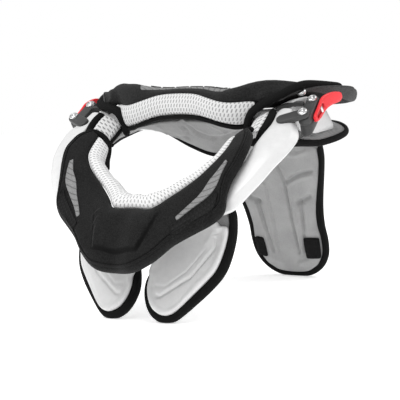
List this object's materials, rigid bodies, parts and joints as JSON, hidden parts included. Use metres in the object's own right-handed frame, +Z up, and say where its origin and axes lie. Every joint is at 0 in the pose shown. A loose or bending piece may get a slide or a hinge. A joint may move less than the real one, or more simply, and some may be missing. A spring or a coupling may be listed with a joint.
{
  "type": "neck brace",
  "caption": "Hard-shell motorsport neck brace: padded black collar tables around the neck opening, mesh cushions, white arms with side clasps and red levers, bound chest paddles and a back pad.",
  "frame": {"origin": "on the floor under the middle of the whole brace", "axes": "+X towards the wearer's left, +Y towards the wearer's back, +Z up as the brace stands on its chest paddles and back pad"},
  "size_m": [0.2892, 0.3428, 0.2134],
  "materials": {
    "table_foam": "matt black grained fabric over foam",
    "mesh": "white spacer mesh with rows of slots",
    "binding": "black woven binding",
    "insert": "grey, finely ribbed",
    "grip": "dark, with a fine relief",
    "shell": "smooth white moulding",
    "lining": "grey fabric over moulded foam",
    "clasp": "dark grey satin",
    "screw": "bright",
    "lever": "red, smooth"
  },
  "bodies": {
    "rear_half": {"rear_table": "table_foam", "rear_insert": "insert", "rear_band_left": "binding", "rear_band_right": "binding", "rear_cushion": "mesh", "rear_cushion_binding": "binding", "side_pad_left": "mesh", "side_pad_right": "mesh", "side_binding_left": "binding", "side_binding_right": "binding", "rear_frame": "shell", "rear_pad": "lining", "rear_pad_binding": "binding", "thoracic_pad": "lining", "thoracic_binding": "binding", "thoracic_patch_left": "binding", "thoracic_patch_right": "binding", "clasp_link_left": "clasp", "clasp_link_right": "clasp", "clasp_strap_left": "clasp", "clasp_strap_right": "clasp", "rear_bolt_left": "screw", "rear_bolt_right": "screw", "frame_bolt_left": "screw", "frame_bolt_right": "screw"},
    "front_half": {"front_table": "table_foam", "front_cushion": "mesh", "front_binding_left": "binding", "front_binding_right": "binding", "front_insert_left": "insert", "front_insert_right": "insert", "front_grip_left": "grip", "front_grip_right": "grip", "front_arm_left": "shell", "front_arm_right": "shell", "chest_plate_left": "shell", "chest_plate_right": "shell", "chest_pad_left": "lining", "chest_pad_right": "lining", "chest_binding_left": "binding", "chest_binding_right": "binding", "clasp_tab_left": "clasp", "clasp_tab_right": "clasp", "front_bolt_left": "screw", "front_bolt_right": "screw"},
    "left_lever": {"lever_left": "lever"},
    "right_lever": {"lever_right": "lever"}
  },
  "joints": [
    {"name": "front_swing", "type": "hinge", "parent": "rear_half", "child": "front_half", "pos_m": [-0.13, -0.04964, 0.18057], "axis": [0, 0.5736, -0.8192], "range_deg": [0, 50]},
    {"name": "left_lever_turn", "type": "hinge", "parent": "rear_half", "child": "left_lever", "pos_m": [0.1386, -0.04095, 0.17688], "axis": [0, 0.5736, -0.8192], "range_deg": [0, 70]},
    {"name": "right_lever_turn", "type": "hinge", "parent": "rear_half", "child": "right_lever", "pos_m": [-0.1386, -0.04095, 0.17688], "axis": [0, -0.5736, 0.8192], "range_deg": [0, 70]}
  ]
}
